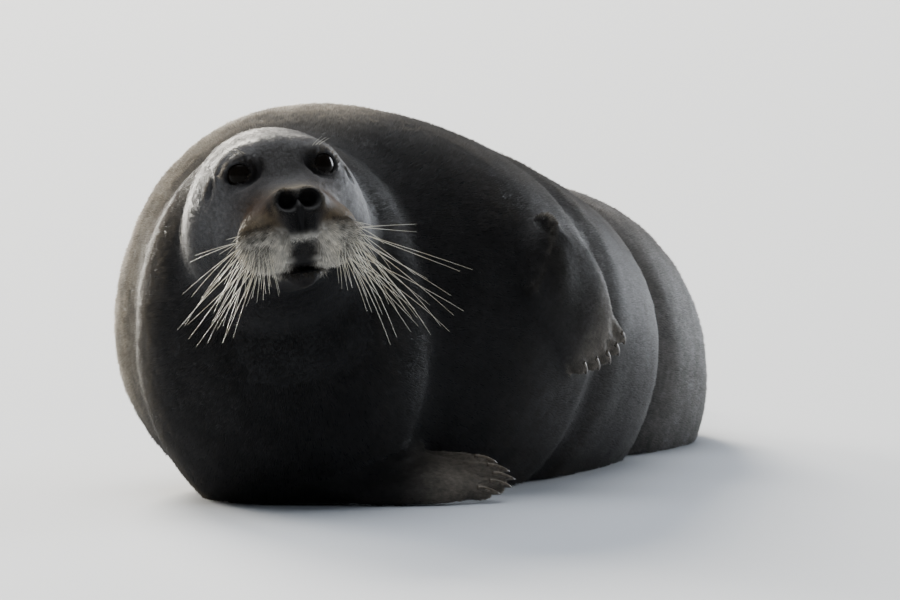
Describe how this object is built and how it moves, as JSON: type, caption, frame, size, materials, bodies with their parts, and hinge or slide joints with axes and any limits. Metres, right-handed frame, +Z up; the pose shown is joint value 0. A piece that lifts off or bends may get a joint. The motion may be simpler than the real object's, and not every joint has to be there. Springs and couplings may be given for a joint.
{
  "type": "bearded seal",
  "caption": "Life-size bearded seal lying half rolled on its side, head raised and facing forward, one foreflipper laid on its flank.",
  "frame": {"origin": "on the floor under the middle of the seal's bounding box", "axes": "+Z up, the seal's head towards -Y and its hind flippers towards +Y, +X to the side where the left foreflipper lies"},
  "size_m": [0.7266, 2.266, 0.4517],
  "materials": {
    "coat": "short flat fur, slightly glossy",
    "muzzle_coat": "short pale fur with whisker pits",
    "eye": "wet and glossy",
    "claw": "worn horn"
  },
  "bodies": {
    "root": {"head": "coat", "muzzle": "muzzle_coat", "lower_jaw": "coat", "neck": "coat", "chest": "coat", "belly": "coat", "loin": "coat", "hips": "coat", "tail": "coat", "foreflipper_left": "coat", "foreflipper_right": "coat", "hindflipper_left": "coat", "hindflipper_right": "coat", "eye_left": "eye", "eye_right": "eye", "claw_fore_left_1": "claw", "claw_fore_left_2": "claw", "claw_fore_left_3": "claw", "claw_fore_left_4": "claw", "claw_fore_left_5": "claw", "claw_fore_right_1": "claw", "claw_fore_right_2": "claw", "claw_fore_right_3": "claw", "claw_fore_right_4": "claw", "claw_fore_right_5": "claw", "claw_hind_left_1": "claw", "claw_hind_left_2": "claw", "claw_hind_left_3": "claw", "claw_hind_left_4": "claw", "claw_hind_left_5": "claw", "claw_hind_right_1": "claw", "claw_hind_right_2": "claw", "claw_hind_right_3": "claw", "claw_hind_right_4": "claw", "claw_hind_right_5": "claw"}
  },
  "joints": []
}
